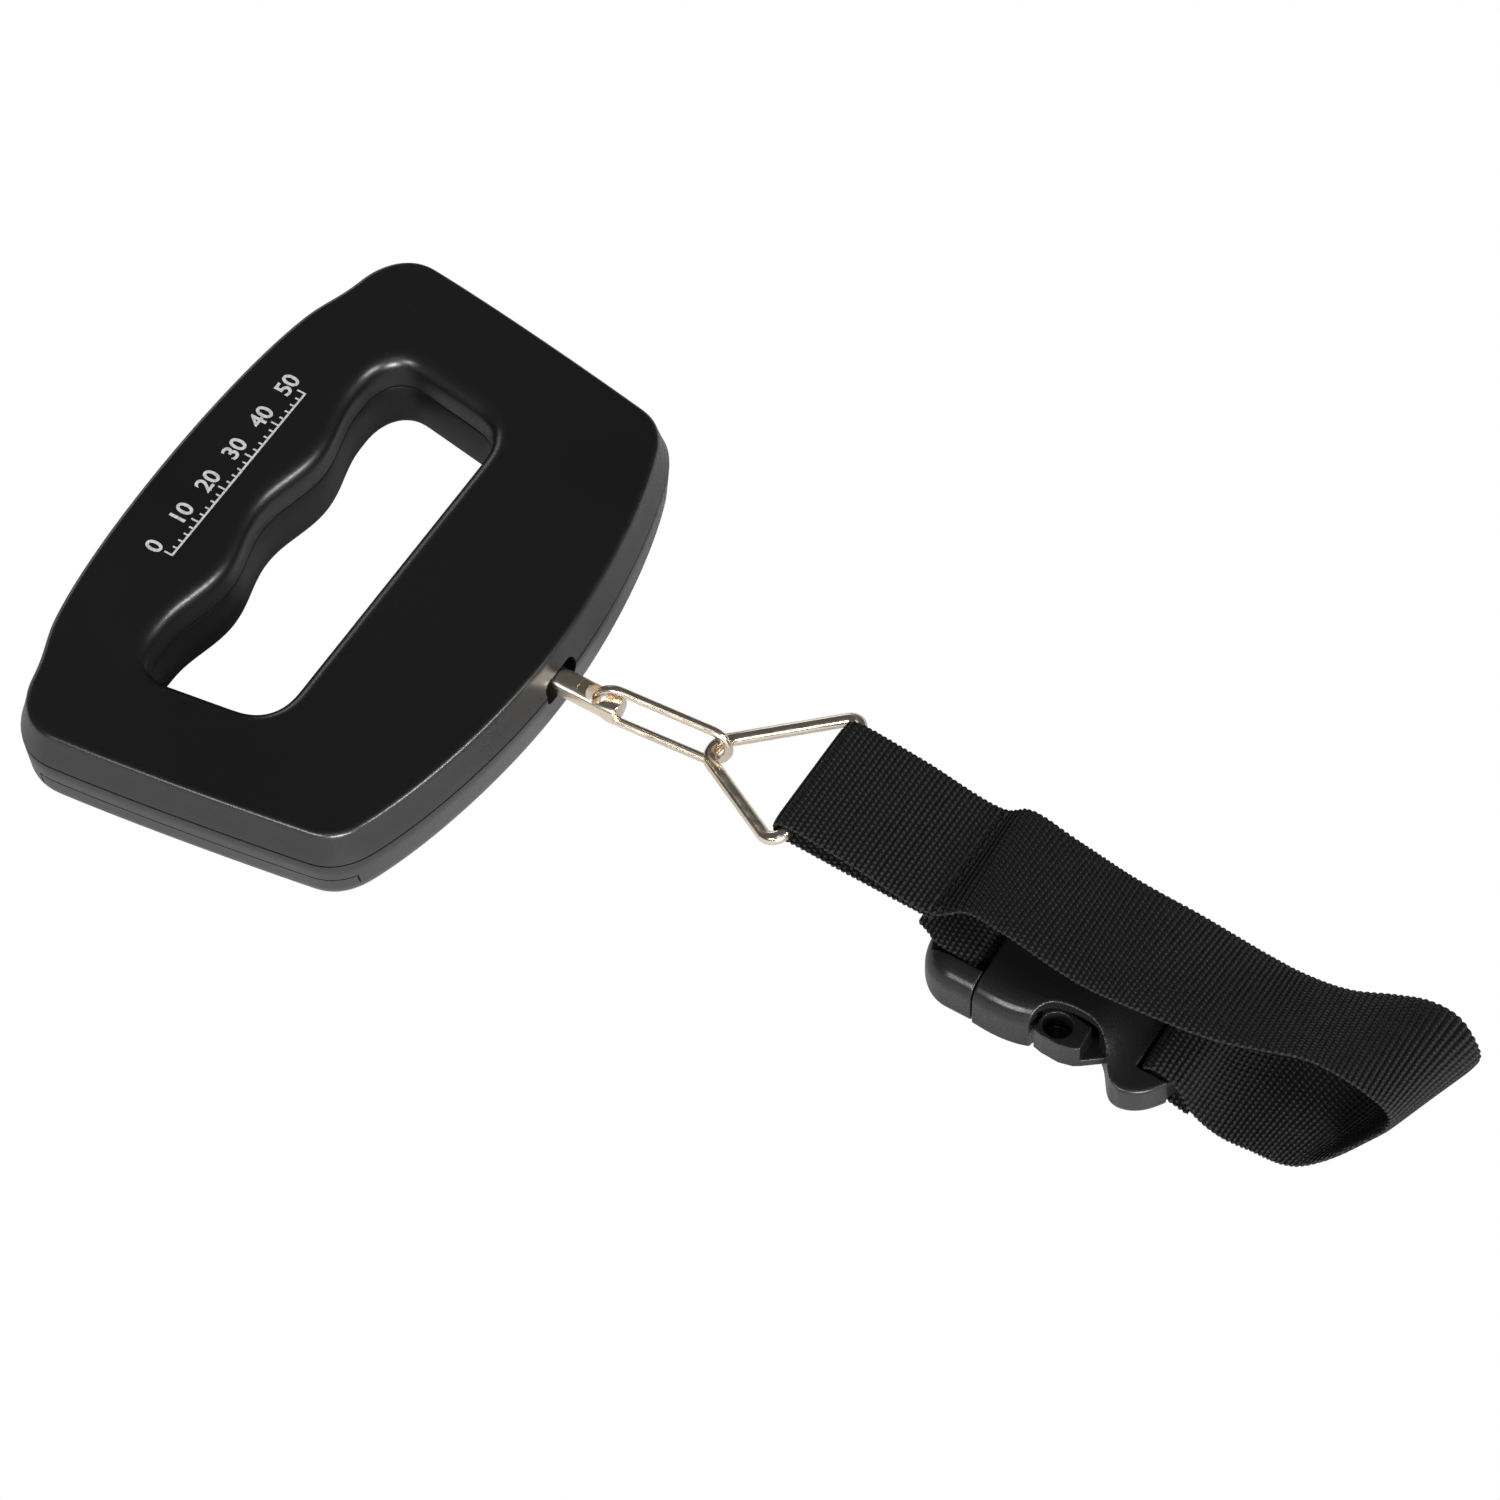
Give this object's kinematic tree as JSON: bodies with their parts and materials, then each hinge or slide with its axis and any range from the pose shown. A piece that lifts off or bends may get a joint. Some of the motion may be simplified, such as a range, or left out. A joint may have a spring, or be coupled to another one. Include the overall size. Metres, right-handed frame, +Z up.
{
  "type": "digital luggage scale",
  "caption": "Hand-held luggage scale: a D-shaped casing with a finger grip, a rod, link and ring from its load cell, and a webbing strap that closes with a side-release buckle.",
  "frame": {"origin": "middle of the bottom of the whole object, on the surface that the scale lies on", "axes": "+X from the grip bar to the free end of the strap, +Y along the grip bar, +Z up, out of the plain back of the casing"},
  "size_m": [0.261, 0.125, 0.02],
  "materials": {
    "case_plastic": "fine satin-textured moulded plastic",
    "buckle_plastic": "smooth moulded acetal plastic",
    "button_rubber": "soft matte rubber",
    "clear_plastic": "clear hard-coated plastic",
    "display_panel": "grey-green display glass",
    "white_plastic": "white plastic",
    "board": "green solder mask",
    "nickel": "warm nickel plating",
    "steel": "zinc-plated steel",
    "aluminium": "machined",
    "webbing": "black woven polyester webbing"
  },
  "bodies": {
    "casing": {"back_shell": "case_plastic", "front_shell": "case_plastic", "lcd_window": "clear_plastic", "lcd_module": "display_panel", "backlight": "white_plastic", "circuit_board": "board", "keypad_mat": "button_rubber", "load_cell": "aluminium", "load_cell_screw_a": "steel", "load_cell_screw_b": "steel", "strain_gauge_cover": "white_plastic", "rod_pin": "steel", "coin_cell": "steel", "contact_upper": "nickel", "contact_side": "nickel", "casing_screw_a": "steel", "casing_screw_b": "steel", "casing_screw_c": "steel", "casing_screw_d": "steel"},
    "battery_door": {"battery_door": "case_plastic"},
    "button_tare": {"button_tare": "button_rubber"},
    "button_power": {"button_power": "button_rubber"},
    "button_unit": {"button_unit": "button_rubber"},
    "load_rod": {"load_rod": "nickel"},
    "wire_link": {"wire_link": "nickel"},
    "triangle_ring": {"triangle_ring": "nickel"},
    "strap": {"strap_sewn_end": "webbing", "strap_long": "webbing", "buckle_female": "buckle_plastic"},
    "buckle_male": {"buckle_male": "buckle_plastic", "strap_short": "webbing"},
    "prong_near": {"prong_near": "buckle_plastic"},
    "prong_far": {"prong_far": "buckle_plastic"}
  },
  "joints": [
    {"name": "battery_door_slide", "type": "slide", "parent": "casing", "child": "battery_door", "axis": [0, -1, 0], "range_m": [0, 0.016]},
    {"name": "button_tare_press", "type": "slide", "parent": "casing", "child": "button_tare", "axis": [0, 0, 1], "range_m": [0, 0.0006], "stiffness_N_per_m": 300},
    {"name": "button_power_press", "type": "slide", "parent": "casing", "child": "button_power", "axis": [0, 0, 1], "range_m": [0, 0.0006], "stiffness_N_per_m": 300},
    {"name": "button_unit_press", "type": "slide", "parent": "casing", "child": "button_unit", "axis": [0, 0, 1], "range_m": [0, 0.0006], "stiffness_N_per_m": 300},
    {"name": "rod_sway", "type": "hinge", "parent": "casing", "child": "load_rod", "pos_m": [-0.05605, 0, 0.0124], "axis": [0, 0, 1], "range_deg": [-8, 8]},
    {"name": "link_swing", "type": "hinge", "parent": "load_rod", "child": "wire_link", "pos_m": [-0.03685, 0, 0.0124], "axis": [0, 0, 1], "range_deg": [-70, 50]},
    {"name": "ring_swing", "type": "hinge", "parent": "wire_link", "child": "triangle_ring", "pos_m": [-0.01575, 0.0048, 0.0073], "axis": [0, 1, 0], "range_deg": [-40, 60]},
    {"name": "strap_swing", "type": "hinge", "parent": "triangle_ring", "child": "strap", "pos_m": [0.00715, 0.0045, 0.015], "axis": [0, 1, 0], "range_deg": [-60, 60]},
    {"name": "buckle_release", "type": "slide", "parent": "strap", "child": "buckle_male", "axis": [-1, 0, 0], "range_m": [0, 0.026], "deforming": ["prong_near", "prong_far", "strap_short"]},
    {"name": "prong_near_flex", "type": "hinge", "parent": "buckle_male", "child": "prong_near", "pos_m": [0.05055, -0.0093, 0.006], "axis": [0, 0, 1], "range_deg": [0, 9], "stiffness_Nm_per_rad": 0.4},
    {"name": "prong_far_flex", "type": "hinge", "parent": "buckle_male", "child": "prong_far", "pos_m": [0.05055, 0.0105, 0.006], "axis": [0, 0, 1], "range_deg": [-9, 0], "stiffness_Nm_per_rad": 0.4}
  ],
  "couplings": [
    {"joint": "prong_far_flex", "follows": "prong_near_flex", "ratio": -1}
  ]
}
